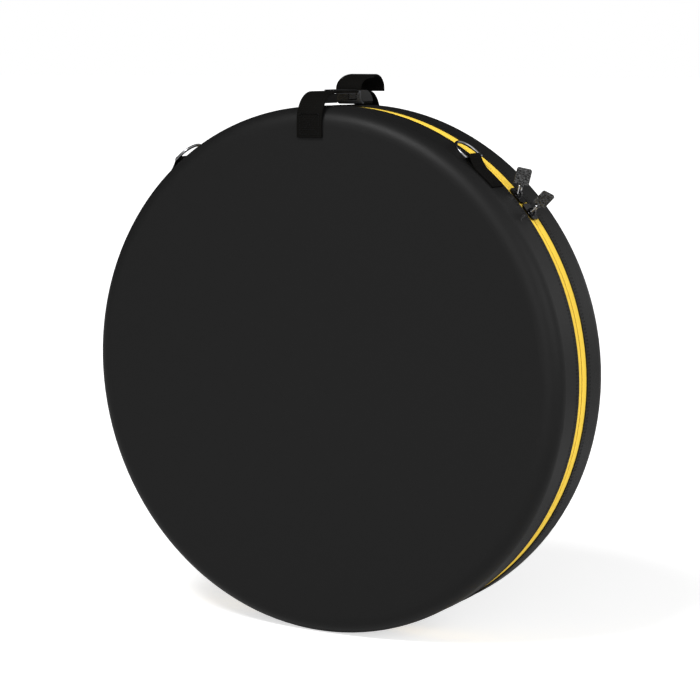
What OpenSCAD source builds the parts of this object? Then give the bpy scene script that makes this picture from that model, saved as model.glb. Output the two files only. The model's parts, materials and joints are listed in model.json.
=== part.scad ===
// Round zipped carry case of a collapsible reflector disc, with the folded reflector inside.
// Millimetres. +Z up, +X right, front face towards -Y. The case stands on its rim.
// The origin is on the floor, in the middle of the flat that the rim stands on.
// Places on the rim are angles from the top, clockwise as seen from the front.

/* [Case] */
// Diameter over the rim
case_d = 470; // [420:5:560]
// Depth of the front half, from the zip's centre line to the front face
front_depth = 53; // [48:1:70]
// Depth of the rear half, from the zip's centre line to the rear face
rear_depth = 55.5; // [50:0.5:75]
// Outside radius of the front edge
front_fillet = 16; // [10:1:22]
// Outside radius of the rear edge
rear_fillet = 21; // [12:1:26]
// Wall of the moulded foam shells
shell_wall = 4; // [3:0.5:6]
// Fabric lining
lining_t = 1; // [0.6:0.1:2]
// Width of the flat that the rim stands on
stand_w = 44; // [34:1:48]

/* [Zip] */
// Width of the zip band between the two shells
zip_w = 18; // [17:0.5:24]
// Thickness of the zip tape
tape_t = 0.8; // [0.5:0.1:1.2]
// Depth of the tape below the rim
tape_inset = 1.3; // [1.2:0.1:1.8]
// Width of the hem where the tape is sewn under the shell's edge
hem_w = 7; // [5:0.5:10]
// Width of one row of the coil
coil_w = 2.6; // [2:0.1:3.2]
// Height of the coil
coil_t = 1.9; // [1.4:0.1:2.2]
// Gap between the two rows
chain_gap = 1.7; // [1.6:0.1:2.4]
// Length of the fabric hinge along the rim
hinge_l = 94; // [60:2:140]

/* [Sliders] */
// Where the two parked sliders meet on the rim
slider_meet = 49.2; // [46:0.2:70]
// Length of a slider
slider_l = 16.6; // [15:0.2:18]
// Width of a slider at its nose
slider_nose_w = 13; // [12:0.2:13.4]
// Width of a slider at its tail
slider_tail_w = 10.6; // [9.6:0.2:11.6]
// Thickness of a slider's plates
plate_t = 1.3; // [1:0.1:1.6]
// Height of the lips at the sides of the plates
lip_h = 0.6; // [0.4:0.1:0.8]
// Width of a pull tab
pull_w = 13; // [9:0.5:13.5]
// Length of a pull tab
pull_l = 14; // [11:0.5:17]
// Thickness of a pull tab
pull_t = 2.8; // [2.2:0.1:3.4]
// Turn of the left pull tab about its own length
pull_twist_a = -60; // [-65:1:-40]
// Turn of the right pull tab about its own length
pull_twist_b = -35; // [-40:1:-30]
// Lean of the left pull from straight out
pull_lean_a = -33; // [-40:1:-20]
// Lean of the right pull from straight out
pull_lean_b = -7; // [-10:1:10]

/* [Handle] */
// Width of the webbing
webbing_w = 25; // [20:1:30]
// Thickness of the webbing
webbing_t = 1.8; // [1.2:0.1:2.2]
// Middle of the handle, left or right of the case's middle
handle_x = -2.4; // [-6:0.2:6]
// Height of the handle's top over the rim
handle_rise = 12.7; // [11:0.1:20]
// Bend radius of the front strap, outside
handle_bend = 24.6; // [22:0.2:27]
// Bend radius of the rear strap, outside
rear_bend = 21.5; // [20:0.5:23]
// Length of the straps' feet, down the faces from the rim
foot_l = 27; // [20:1:60]
// Length of the front strap's free end behind the zip's centre line
strap_reach = 12; // [8:0.5:12.5]
// Height of the pads over the rim
pad_clear = 2.6; // [2:0.1:4]
// Where the front pad ends, in front of the zip's centre line
front_pad_end = 26; // [18:0.5:34]
// Middle of the rear pad's round back, behind the zip's centre line
rear_pad_y = 26; // [24:0.5:27]
// Radius of the rear pad's round back
rear_pad_bulge = 13.6; // [12.5:0.1:13.8]
// Front of the flap's upright part
flap_front = 14; // [14:0.5:18]
// Height of the curled flap over the handle's top
flap_rise = 14.4; // [10:0.2:20]
// Length of the flap's rising curve
flap_front_run = 29.5; // [24:0.5:34]
// Length of the flap's falling curve
flap_rear_run = 16.5; // [12:0.5:20]

/* [Rings] */
// Angle of the right ring's bar on the rim
ring_angle_right = 36; // [30:0.5:38]
// Angle of the left ring's bar on the rim
ring_angle_left = 39.5; // [34:0.5:50]
// Wire of the rings
ring_wire = 2.7; // [2:0.1:3.2]
// Depth of a ring, from its bar to its round end, over the wire
ring_depth = 21.6; // [20:0.2:26]
// Height of a ring's bar over the rim
ring_rise = 4.6; // [4.4:0.1:6]
// Lift of a ring off the rim's tangent
ring_lift = 3; // [0:1:10]
// Length of a webbing tab
ring_tab_l = 34; // [26:1:44]

/* [Reflector] */
// Room between the folded reflector and the lining at the rim
fold_room = 14; // [14:1:40]
// Half of the distance that the turns spread
fold_spread = 11.5; // [10:0.5:11.5]
// Spring wire of the hoop
hoop_wire = 4; // [3:0.2:5]
// Wall of the edge binding round the wire
casing_wall = 2; // [1.4:0.1:2.2]
// Width of the elastic straps that hold the reflector
elastic_w = 38; // [25:1:50]
// Distance between the middles of the elastic straps
elastic_pitch = 190; // [120:5:220]

/* [Hidden] */
$fn = 96;

rim_r = case_d / 2;
axis_h = sqrt(rim_r * rim_r - stand_w * stand_w / 4);
hinge_angle = -90;                 // the fabric hinge is at the left
glue_gap = 0.2;                    // layers that are glued or sewn together
run_gap = 0.3;                     // pieces that move past each other
lip_t = tape_inset - glue_gap;     // compressed edge of a shell over the tape
half_zip = zip_w / 2;

tape_r = rim_r - tape_inset;       // outer face of the tape
coil_r = tape_r - tape_t - 0.1;    // outer face of the coil
binding_t = 1.2;
binding_r = tape_r - tape_t - glue_gap;
hinge_half = hinge_l / (2 * rim_r) * 180 / PI;
chain_start = hinge_angle + hinge_half;
chain_end = hinge_angle + 360 - hinge_half;
stop_l = 3;
stop_angle = stop_l / rim_r * 180 / PI;

lining_gap = shell_wall + glue_gap;
inner_r = rim_r - lining_gap - lining_t;
rear_inner = rear_depth - lining_gap - lining_t;
front_inner = front_depth - lining_gap - lining_t;

plate_gap = 0.9;                   // play between the chain and a slider's plates
top_plate_r = tape_r + plate_gap;
low_plate_r = coil_r - coil_t - plate_gap;
slider_step = (slider_l / 2 + 0.5) / rim_r * 180 / PI;
slider_angle_a = slider_meet - slider_step;
slider_angle_b = slider_meet + slider_step;
post_w = chain_gap - 2 * run_gap;
bridge_w = 3.2;
bridge_in = 2.3;
bridge_wall = 1.5;
bridge_back = 1;                   // the bridge sits this far behind the slider's middle
link_wire = 1.5;
link_rise = link_wire / 2 + run_gap + 0.05;
link_l = 7;
link_half = bridge_w / 2 + run_gap + link_wire / 2 + 0.2;
pivot_r = top_plate_r + plate_t + link_rise;

face_y = -front_depth - glue_gap;
back_y = rear_depth + glue_gap;
top_r = rim_r + handle_rise;       // top of the handle, from the case's axis
bend_c = top_r - handle_bend;
front_bend_y = face_y - webbing_t + handle_bend;
rear_bend_y = rear_pad_y + 4.2;
rear_bend_c = top_r - rear_bend;
rear_strap_start = rear_bend_y + webbing_t;
pad_back_r = rim_r - 0.5;          // height of the middle of the rear pad's round back
foot_r = rim_r - foot_l;
pad_r = rim_r + pad_clear;
patch_t = 1;
flap_pivot_r = top_r + 1.6;        // the flap folds along this line
flap_slit = 0.4;
flap_c = flap_front + flap_front_run;
flap_top = top_r + flap_rise - flap_pivot_r;
flap_root_bend = 7;
flap_tail = 3;

ring_tab_t = 1.6;
ring_y = -(half_zip + (front_depth - front_fillet)) / 2;
ring_in = webbing_w + 1;
ring_bow = (ring_in + ring_wire) / 2;
ring_leg = ring_depth - ring_wire - ring_bow;
bar_r = rim_r + ring_rise;
bar_bore = ring_wire / 2 + run_gap;
loop_r = bar_bore + 1.5;

casing_r = hoop_wire / 2 + glue_gap + casing_wall;
fold_r = inner_r - fold_room - casing_r - fold_spread;
fold_y = rear_inner - run_gap - casing_r - fold_spread;
elastic_t = 1.5;
elastic_y = fold_y - fold_spread - casing_r - run_gap - elastic_t;

pocket_t = 0.8;
pocket_top = 40;
pocket_hem_h = 14;
pocket_y = -front_inner + run_gap;

// ---------- frames ----------

// A figure drawn in (radius, depth) becomes a ring about the case's axis.
module ring(from = 0, to = 360) {
    translate([0, 0, axis_h])
        rotate([-90, 0, 0])
            rotate_extrude(start = from - 90, angle = to - from, $fn = 360)
                children();
}

// Puts a piece drawn at the top of the rim, in (along the rim, depth, radius), at an angle.
module at_rim(angle) {
    translate([0, 0, axis_h]) rotate([0, angle, 0]) children();
}

// A figure drawn in (depth, radius) becomes a strap of the handle.
module strap(width = webbing_w) {
    translate([handle_x - width / 2, 0, axis_h])
        rotate([90, 0, 90])
            linear_extrude(width)
                children();
}

module rod(length, d) {
    rotate([90, 0, 0]) cylinder(h = length, d = d, center = true, $fn = 32);
}

// ---------- shells ----------

// Half of the case's outline in (radius, depth): a flat face and a rounded edge.
module bowl_outline(r, edge, depth, fillet) {
    translate([0, edge]) square([r, depth - fillet - edge]);
    translate([0, edge]) square([r - fillet, depth - edge]);
    translate([r - fillet, depth - fillet]) circle(fillet);
}

module shell_section(depth, fillet) {
    difference() {
        bowl_outline(rim_r, half_zip, depth, fillet);
        translate([0, -1])
            bowl_outline(rim_r - shell_wall, half_zip, depth - shell_wall + 1, fillet - shell_wall);
        translate([0, half_zip - 1]) square([rim_r - lip_t, hem_w + 1]);
    }
}

module lining_section(depth, fillet) {
    gap = lining_gap;
    edge = half_zip + hem_w + glue_gap;
    difference() {
        bowl_outline(rim_r - gap, edge, depth - gap, fillet - gap);
        translate([0, -1])
            bowl_outline(rim_r - gap - lining_t, edge, depth - gap - lining_t + 1,
                fillet - gap - lining_t);
    }
}

module stand_cut() {
    difference() {
        children();
        translate([-rim_r, -rim_r, -20]) cube([2 * rim_r, 2 * rim_r, 20]);
    }
}

module rear_shell() {
    color("#272727") stand_cut() ring() shell_section(rear_depth, rear_fillet);
}

module front_shell() {
    color("#272727") stand_cut() ring() mirror([0, 1]) shell_section(front_depth, front_fillet);
}

module rear_lining() {
    color("#4a4a4c") ring() lining_section(rear_depth, rear_fillet);
}

module front_lining() {
    color("#4a4a4c") ring() mirror([0, 1]) lining_section(front_depth, front_fillet);
}

// Binding tape that covers the sewn hem inside.
module binding_section() {
    translate([binding_r - binding_t, half_zip]) square([binding_t, hem_w - glue_gap]);
}

module rear_edge_binding() {
    color("#1c1c1e") ring() binding_section();
}

module front_edge_binding() {
    color("#1c1c1e") ring() mirror([0, 1]) binding_section();
}

// ---------- zip ----------

module tape_section() {
    translate([tape_r - tape_t, chain_gap / 2])
        square([tape_t, half_zip + hem_w - glue_gap - chain_gap / 2]);
}

module coil_section() {
    translate([coil_r - coil_t, chain_gap / 2]) square([coil_t, coil_w]);
}

module rear_zip_tape() {
    color("#ffcd46") ring(chain_start, chain_end) tape_section();
}

module front_zip_tape() {
    color("#ffcd46") ring(chain_start, chain_end) mirror([0, 1]) tape_section();
}

module rear_zip_coil() {
    color("#d9a62c") ring(chain_start + stop_angle, chain_end - stop_angle) coil_section();
}

module front_zip_coil() {
    color("#d9a62c") ring(chain_start + stop_angle, chain_end - stop_angle)
        mirror([0, 1]) coil_section();
}

// Metal stops clamped on the rear row at both ends of the chain.
module zip_end_stops() {
    color("#9a9a9c")
        for (from = [chain_start + 0.05, chain_end - stop_angle + 0.05])
            ring(from, from + stop_angle - 0.1)
                translate([coil_r - coil_t, chain_gap / 2]) square([coil_t, coil_w]);
}

// Strip of the shells' fabric that joins the halves opposite the parked sliders.
module hinge_strip() {
    trim = 0.3;
    color("#222222")
        ring(hinge_angle - hinge_half + trim, hinge_angle + hinge_half - trim)
            difference() {
                translate([binding_r + glue_gap, -half_zip + run_gap])
                    square([rim_r - binding_r - glue_gap, zip_w - run_gap + hem_w - glue_gap]);
                translate([rim_r - lip_t - glue_gap, half_zip - glue_gap])
                    square([shell_wall, hem_w + 1]);
            }
}

// ---------- sliders and pulls ----------

// Outline of a slider's plate, with its nose towards +X.
module plate_outline() {
    half = slider_l / 2;
    intersection() {
        polygon([[-half, -slider_tail_w / 2], [-half / 6, -slider_nose_w / 2],
            [half, -slider_nose_w / 2], [half, slider_nose_w / 2],
            [-half / 6, slider_nose_w / 2], [-half, slider_tail_w / 2]]);
        circle(half + 0.7);
    }
}

// The plates' lips follow the outline and leave the nose and the tail open.
module lip_outline() {
    lip_w = 1.1;
    difference() {
        plate_outline();
        square([slider_l + 2, slider_tail_w - 2 * lip_w], center = true);
    }
}

module slider_body() {
    cavity = top_plate_r - low_plate_r;
    pivot_x = -bridge_back;
    // top plate, low plate and their lips
    translate([0, 0, top_plate_r]) linear_extrude(plate_t) plate_outline();
    translate([0, 0, top_plate_r - lip_h]) linear_extrude(lip_h) lip_outline();
    translate([0, 0, low_plate_r - plate_t]) linear_extrude(plate_t) plate_outline();
    translate([0, 0, low_plate_r]) linear_extrude(lip_h) lip_outline();
    // diamond between the two rows, which joins the plates
    translate([slider_l / 2 - 6.4, 0, low_plate_r])
        linear_extrude(cavity)
            polygon([[0, 0], [1.6, -post_w / 2], [5, -post_w / 2], [6, 0],
                [5, post_w / 2], [1.6, post_w / 2]]);
    // bridge that holds the pull
    translate([pivot_x, 0, top_plate_r + plate_t])
        difference() {
            rotate([90, 0, 0]) cylinder(h = bridge_w, r = bridge_in + bridge_wall, center = true);
            rotate([90, 0, 0]) cylinder(h = bridge_w + 2, r = bridge_in, center = true);
            translate([-10, -5, -10]) cube([20, 10, 10]);
        }
}

// Wire link, drawn standing on its pivot.
module link() {
    for (z = [0, link_l])
        translate([0, 0, z]) rod(2 * link_half, link_wire);
    for (side = [-1, 1]) {
        translate([0, side * link_half, 0]) cylinder(h = link_l, d = link_wire, $fn = 32);
        for (z = [0, link_l])
            translate([0, side * link_half, z]) sphere(d = link_wire, $fn = 32);
    }
}

// Moulded tab: a rounded plate with grip ribs, on an eye round the link's far bar.
module tab(twist) {
    ribs = 5;
    rib_pitch = (pull_l - 5) / ribs;
    rib_t = 0.5;
    eye_r = link_wire / 2 + 0.2;
    corner = 1.8;
    base = link_l + link_wire / 2 + 0.4;
    slot_w = 2 * link_half + link_wire + 0.8;
    rotate([0, 0, twist]) {
        // plate with rounded outer corners, thinner between the ribs
        rotate([90, 0, 90])
            linear_extrude(pull_t - 2 * rib_t, center = true)
                difference() {
                    union() {
                        translate([-pull_w / 2, base]) square([pull_w, pull_l - corner]);
                        translate([-pull_w / 2 + corner, base])
                            square([pull_w - 2 * corner, pull_l]);
                        for (side = [-1, 1])
                            translate([side * (pull_w / 2 - corner), base + pull_l - corner])
                                circle(corner, $fn = 32);
                    }
                    // the link's shoulders turn in this notch
                    translate([-slot_w / 2, base - 1]) square([slot_w, 1.2]);
                }
        for (i = [0 : ribs - 1])
            translate([-pull_t / 2, -pull_w / 2 + 0.9, base + 3 + i * rib_pitch])
                cube([pull_t, pull_w - 1.8, rib_pitch * 0.5]);
    }
    // eye
    difference() {
        union() {
            translate([0, 0, link_l])
                rotate([90, 0, 0])
                    cylinder(h = 2 * link_half - link_wire - 0.6, r = eye_r + 1.1, center = true);
            translate([-1, -link_half + link_wire / 2 + 0.3, link_l])
                cube([2, 2 * link_half - link_wire - 0.6, base - link_l + 1.4]);
        }
        translate([0, 0, link_l])
            rotate([90, 0, 0]) cylinder(h = 20, r = eye_r, center = true);
    }
}

module at_pull(angle, back, lean) {
    at_rim(angle) translate([back, 0, pivot_r]) rotate([0, lean, 0]) children();
}

module slider_a() {
    color("#55565a") at_rim(slider_angle_a) slider_body();
}

module slider_b() {
    color("#55565a") at_rim(slider_angle_b) mirror([1, 0, 0]) slider_body();
}

module pull_a_link() {
    color("#c4c6ca") at_pull(slider_angle_a, -bridge_back, pull_lean_a) link();
}

module pull_b_link() {
    color("#c4c6ca") at_pull(slider_angle_b, bridge_back, pull_lean_b) link();
}

module pull_a_tab() {
    color("#3a3a3c") at_pull(slider_angle_a, -bridge_back, pull_lean_a) tab(pull_twist_a);
}

module pull_b_tab() {
    color("#3a3a3c") at_pull(slider_angle_b, bridge_back, pull_lean_b) tab(pull_twist_b);
}

// ---------- handle ----------

// Quarter bend of the front strap in (depth, radius), rising from the face towards the zip.
module front_bend() {
    translate([front_bend_y, bend_c])
        intersection() {
            difference() {
                circle(handle_bend);
                circle(handle_bend - webbing_t);
            }
            mirror([1, 0]) square(handle_bend + 1);
        }
}

module handle_front_strap() {
    color("#181614") strap() {
        translate([face_y - webbing_t, foot_r]) square([webbing_t, bend_c - foot_r]);
        front_bend();
        translate([front_bend_y, top_r - webbing_t])
            square([strap_reach - front_bend_y, webbing_t]);
    }
}

// Area under the rear strap: its bend, the case's rear edge and the rear face.
module under_rear_strap(skin) {
    edge = rear_fillet + glue_gap + skin;
    edge_y = rear_depth - rear_fillet;
    translate([rear_bend_y, rear_bend_c]) circle(rear_bend - webbing_t + skin);
    translate([edge_y, rim_r - rear_fillet]) circle(edge);
    translate([edge_y, foot_r - 40]) square([edge, rim_r - rear_fillet - foot_r + 40]);
}

module handle_rear_strap() {
    color("#181614") strap()
        difference() {
            intersection() {
                under_rear_strap(webbing_t);
                translate([rear_strap_start, foot_r]) square([60, 60]);
            }
            under_rear_strap(0);
            translate([rear_pad_y, pad_back_r]) circle(rear_pad_bulge + glue_gap);
        }
}

// Foam pad inside the front strap's bend: it lifts the strap off the rim.
module handle_front_pad() {
    r = handle_bend - webbing_t - glue_gap;
    color("#101010") strap()
        intersection() {
            union() {
                translate([front_bend_y, bend_c]) circle(r);
                translate([front_bend_y, bend_c]) square([60, r]);
            }
            translate([-100, pad_r]) square([100 - front_pad_end, 60]);
        }
}

// Foam pad between the flap and the rear strap, round towards the back.
module handle_rear_pad() {
    front_y = flap_front + webbing_t + glue_gap;
    corner_y = flap_front + flap_root_bend;
    corner_r = pad_r - glue_gap - webbing_t + flap_root_bend;
    top = pad_back_r + rear_pad_bulge;
    color("#4b4b4d") strap() {
        translate([corner_y, corner_r]) circle(corner_y - front_y);
        translate([front_y, corner_r]) square([rear_pad_y - front_y, top - corner_r]);
        translate([corner_y, pad_r]) square([rear_pad_y - corner_y, top - pad_r]);
        intersection() {
            translate([rear_pad_y, pad_back_r]) circle(rear_pad_bulge);
            translate([rear_pad_y, pad_r]) square([rear_pad_bulge + 1, rear_pad_bulge]);
        }
    }
}

// Grip tape on top of the front strap's free end.
module handle_loop_patch() {
    color("#1f1f20")
        strap(webbing_w - 3)
            translate([-half_zip, top_r + 0.1]) square([half_zip + strap_reach - 2, patch_t]);
}

// Part of a round-cornered band between two radii, cut to one quarter.
module quarter_band(rx, rz, t, quadrant) {
    steps = 16;
    outer = [for (i = [0 : steps]) let (a = i * 90 / steps)
        [quadrant * rx * cos(a), rz * sin(a)]];
    inner = [for (i = [steps : -1 : 0]) let (a = i * 90 / steps)
        [quadrant * (rx - t) * cos(a), (rz - t) * sin(a)]];
    polygon(concat(outer, inner));
}

// Upright part of the flap, sewn under the rear pad and bulging forward.
module flap_root() {
    low = pad_r - glue_gap - webbing_t;
    bend_y = flap_front + flap_root_bend;
    rise = flap_pivot_r - flap_slit - low;
    color("#2e2e2f") strap() {
        translate([bend_y, low]) square([rear_pad_y + rear_pad_bulge - 2 - bend_y, webbing_t]);
        translate([bend_y, low + flap_root_bend])
            mirror([0, 1]) quarter_band(flap_root_bend, flap_root_bend, webbing_t, -1);
        translate([flap_front, low + flap_root_bend]) square([webbing_t, rise - flap_root_bend]);
    }
}

// Side of the curled flap, from its fold over the top to its free end.
function curl_side(inset) = concat(
    [for (a = [0 : 6 : 90])
        [flap_c - (flap_front_run - inset) * cos(a), flap_pivot_r + (flap_top - inset) * sin(a)]],
    [for (a = [84 : -6 : 0])
        [flap_c + (flap_rear_run - inset) * cos(a), flap_pivot_r + (flap_top - inset) * sin(a)]],
    [[flap_c + flap_rear_run - inset, flap_pivot_r - flap_tail]]);

// Curled free end of the flap.
module handle_flap() {
    inner = curl_side(webbing_t);
    color("#161616")
        strap() polygon(concat(curl_side(0), [for (i = [len(inner) - 1 : -1 : 0]) inner[i]]));
}

// Hook tape on the flap's inner face.
module flap_hook_patch() {
    gap = webbing_t + 0.1;
    color("#242425") strap(webbing_w - 4)
        intersection() {
            translate([flap_c, flap_pivot_r])
                quarter_band(flap_front_run - gap, flap_top - gap, patch_t, -1);
            translate([flap_c - 18, flap_pivot_r]) square([18, 40]);
        }
}

// ---------- D-rings ----------

// Side of a tab: webbing folded round the ring's bar, its two layers sewn flat on the rim.
module ring_tab_side() {
    seat_r = rim_r + glue_gap;
    fold_l = 9;                    // where the two layers meet behind the bar
    inset = 0.3;
    difference() {
        union() {
            intersection() {
                difference() {
                    circle(seat_r + ring_tab_t);
                    circle(seat_r);
                }
                translate([fold_l, 0]) square([ring_tab_l - fold_l, 2 * rim_r]);
            }
            polygon([[0, bar_r + loop_r - inset], [0, bar_r - loop_r + inset],
                [fold_l / 2, seat_r + 0.1], [fold_l + 1, seat_r + inset],
                [fold_l + 1, seat_r + ring_tab_t - inset - 0.3]]);
            translate([0, bar_r]) circle(loop_r);
        }
        translate([0, bar_r]) circle(bar_bore);
    }
}

module ring_tab(angle) {
    at_rim(angle)
        translate([0, ring_y + webbing_w / 2, 0])
            rotate([90, 0, 0]) linear_extrude(webbing_w) ring_tab_side();
}

// D-shaped wire ring, drawn with its bar on the Y axis and its round end towards -X.
module d_ring() {
    rod(2 * ring_bow, ring_wire);
    for (side = [-1, 1]) {
        translate([0, side * ring_bow, 0]) sphere(d = ring_wire, $fn = 32);
        translate([-ring_leg, side * ring_bow, 0])
            rotate([0, 90, 0]) cylinder(h = ring_leg, d = ring_wire, $fn = 32);
    }
    translate([-ring_leg, 0, 0])
        rotate_extrude(start = 90, angle = 180)
            translate([ring_bow, 0]) circle(d = ring_wire, $fn = 32);
}

module at_bar(angle) {
    at_rim(angle) translate([0, ring_y, bar_r]) rotate([0, ring_lift, 0]) children();
}

module ring_tab_right() {
    color("#151515") ring_tab(ring_angle_right);
}

module ring_tab_left() {
    color("#151515") mirror([1, 0, 0]) ring_tab(ring_angle_left);
}

module d_ring_right() {
    color("#6a6c70") at_bar(ring_angle_right) d_ring();
}

module d_ring_left() {
    color("#6a6c70") mirror([1, 0, 0]) at_bar(ring_angle_left) d_ring();
}

// ---------- inside ----------

// The folded hoop winds three times round and comes back to where it started.
turns = 3;
stations = 96;

function coil_point(i) =
    let (t = i * 360 * turns / stations, s = t / turns, r = fold_r + fold_spread * cos(s))
    [r * sin(t), fold_y + fold_spread * sin(s), axis_h + r * cos(t)];

// Section point (u outwards, v along the depth) at a station of the hoop.
function coil_section_point(i, uv) =
    let (t = i * 360 * turns / stations, c = coil_point(i))
    [c[0] + uv[0] * sin(t), c[1] + uv[1], c[2] + uv[0] * cos(t)];

module coil_sweep(section) {
    n = len(section);
    points = [for (i = [0 : stations - 1]) for (uv = section) coil_section_point(i, uv)];
    faces = [for (i = [0 : stations - 1]) for (k = [0 : n - 1])
        let (j = (i + 1) % stations, m = (k + 1) % n)
        each [[i * n + k, j * n + k, i * n + m], [i * n + m, j * n + k, j * n + m]]];
    polyhedron(points = points, faces = faces, convexity = 10);
}

module reflector_hoop() {
    r = hoop_wire / 2;
    color("#8d9094") coil_sweep([for (k = [0 : 5]) [r * cos(k * 60), r * sin(k * 60)]]);
}

// Casing sewn round the wire; it is open towards the middle, where the fabric enters it.
module reflector_binding() {
    open = 150;
    inner = hoop_wire / 2 + glue_gap + 0.15;
    outer = casing_r;
    arc = [for (k = [0 : 5]) -open + k * open * 2 / 5];
    section = concat([for (a = arc) [outer * cos(a), outer * sin(a)]],
        [for (k = [5 : -1 : 0]) [inner * cos(arc[k]), inner * sin(arc[k])]]);
    color("#1a1a1c") coil_sweep(section);
}

// Folded fabric within the turns.
module reflector_fabric() {
    r = fold_r - fold_spread - casing_r - 1;
    half = fold_spread + casing_r - 3;
    color("#e9e9e6") ring() {
        translate([0, fold_y - half]) square([r - half, 2 * half + 3]);
        translate([r - half, fold_y]) intersection() {
            circle(half);
            translate([0, -half]) square(2 * half);
        }
    }
}

module elastic_strap(x) {
    color("#19191b")
        intersection() {
            translate([x - elastic_w / 2, elastic_y, axis_h - rim_r])
                cube([elastic_w, elastic_t, 2 * rim_r]);
            translate([0, 0, axis_h])
                rotate([90, 0, 0])
                    cylinder(h = 200, r = inner_r - run_gap, center = true, $fn = 360);
        }
}

module elastic_strap_left() {
    elastic_strap(-elastic_pitch / 2);
}

module elastic_strap_right() {
    elastic_strap(elastic_pitch / 2);
}

// Mesh pocket in the lid, open at the top.
module pocket_disc(t) {
    translate([0, pocket_y + t, axis_h])
        rotate([90, 0, 0])
            cylinder(h = t, r = rim_r - front_fillet - 8, $fn = 360);
}

module lid_pocket() {
    color("#2b2b2e")
        difference() {
            pocket_disc(pocket_t);
            translate([-rim_r, -100, axis_h + pocket_top]) cube([2 * rim_r, 200, 2 * rim_r]);
        }
}

module lid_pocket_hem() {
    color("#17171a")
        intersection() {
            pocket_disc(pocket_t + 1);
            translate([-rim_r, -100, axis_h + pocket_top + 0.1]) cube([2 * rim_r, 200, pocket_hem_h]);
        }
}

rear_shell();
rear_lining();
rear_edge_binding();
rear_zip_tape();
rear_zip_coil();
hinge_strip();
zip_end_stops();
handle_rear_strap();
handle_rear_pad();
flap_root();
elastic_strap_left();
elastic_strap_right();
reflector_hoop();
reflector_binding();
reflector_fabric();
front_shell();
front_lining();
front_edge_binding();
front_zip_tape();
front_zip_coil();
handle_front_strap();
handle_front_pad();
handle_loop_patch();
ring_tab_left();
ring_tab_right();
lid_pocket();
lid_pocket_hem();
handle_flap();
flap_hook_patch();
d_ring_left();
d_ring_right();
slider_a();
pull_a_link();
pull_a_tab();
slider_b();
pull_b_link();
pull_b_tab();
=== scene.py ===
# %% [markdown]
# # A round zipped case and the folded reflector inside it
# The case is two moulded shells of black cloth over foam, joined by a yellow zip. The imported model
# gives the shells, the zip's bands and the metal parts in their true places. This file gives every
# surface its cloth, metal or rubber, and models the soft pieces again: webbing, pads, the hinge
# cloth, the zip's teeth, the stitches and the folded reflector.

import json
import math

import bmesh
import bpy
from mathutils import Matrix, Vector

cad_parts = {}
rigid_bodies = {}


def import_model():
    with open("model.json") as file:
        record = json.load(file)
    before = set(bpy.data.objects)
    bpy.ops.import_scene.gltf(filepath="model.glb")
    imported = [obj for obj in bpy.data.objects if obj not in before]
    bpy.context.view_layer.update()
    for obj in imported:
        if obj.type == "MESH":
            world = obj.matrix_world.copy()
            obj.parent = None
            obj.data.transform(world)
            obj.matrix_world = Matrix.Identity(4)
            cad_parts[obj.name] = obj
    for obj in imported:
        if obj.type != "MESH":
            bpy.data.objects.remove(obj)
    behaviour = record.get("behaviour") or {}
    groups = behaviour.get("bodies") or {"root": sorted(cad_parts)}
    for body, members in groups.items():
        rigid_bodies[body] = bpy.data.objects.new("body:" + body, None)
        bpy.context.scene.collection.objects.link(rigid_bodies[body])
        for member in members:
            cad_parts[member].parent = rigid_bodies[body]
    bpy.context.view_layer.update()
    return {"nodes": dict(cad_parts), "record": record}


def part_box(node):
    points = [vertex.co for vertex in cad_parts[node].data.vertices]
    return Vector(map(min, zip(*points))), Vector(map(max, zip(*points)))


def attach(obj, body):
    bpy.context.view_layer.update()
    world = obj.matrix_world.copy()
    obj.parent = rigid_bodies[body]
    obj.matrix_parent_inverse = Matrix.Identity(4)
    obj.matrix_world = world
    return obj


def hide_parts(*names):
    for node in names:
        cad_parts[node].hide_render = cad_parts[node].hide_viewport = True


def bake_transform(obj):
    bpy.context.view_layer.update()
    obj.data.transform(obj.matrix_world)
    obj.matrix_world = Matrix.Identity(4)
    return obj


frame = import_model()
nodes = frame["nodes"]

# %% [markdown]
# ## Sizes that many pieces share
# The case is round about a line that runs front to back, so most places are given as an angle on
# the rim, clockwise from the top, with a depth and a distance from that line. The rim's radius and
# the line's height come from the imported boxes.

# %% Shared sizes
MM = 0.001
rim_low, rim_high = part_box("front_shell")
RIM = (rim_high.x - rim_low.x) / 2
AXIS_Z = rim_high.z - RIM
PIVOT = {j["name"]: Vector(j["pos_m"]) for j in frame["record"]["behaviour"]["joints"]}


def at_rim(angle, depth, radius, along=0.0):
    """Point at an angle on the rim; along is a step on the tangent, clockwise."""
    a = math.radians(angle)
    return Vector((radius * math.sin(a) + along * math.cos(a), depth,
                   AXIS_Z + radius * math.cos(a) - along * math.sin(a)))


def rim_angle(place):
    """Angle on the rim of a point, clockwise from the top."""
    return math.degrees(math.atan2(place.x, place.z - AXIS_Z))


print("rim radius", round(RIM, 4), "centre height", round(AXIS_Z, 4))

# %% [markdown]
# ## Camera
# The view is from the right and a little above, with a long lens, so that the near face is close
# to a true circle and the zip's band shows as a thin yellow arc.

# %% Camera
bpy.ops.object.camera_add(location=(0.93583, -1.65479, 0.51397),
                          rotation=(math.pi / 2 - 0.1382, 0, 0.5112))
camera = bpy.context.object
camera.data.lens = 109.49
camera.data.sensor_width = 36
camera.data.clip_end = 50
bpy.context.scene.camera = camera
bpy.context.scene.view_settings.view_transform = "Standard"
print("camera lens", camera.data.lens)

# %% [markdown]
# ## Shader nodes
# The studio and every material are node trees. One helper adds a node, sets it and links it, so
# that a tree reads as a few lines.

# %% Shader helpers


def put(tree, kind, *values, **settings):
    """New shader node with its settings, then its inputs in order: a number, a colour or a link."""
    made = tree.nodes.new("ShaderNode" + kind)
    for key, value in settings.items():
        setattr(made, key, value)
    for socket, value in zip(made.inputs, values):
        if isinstance(value, bpy.types.NodeSocket):
            tree.links.new(value, socket)
        elif value is not None:
            socket.default_value = value
    return made


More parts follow.
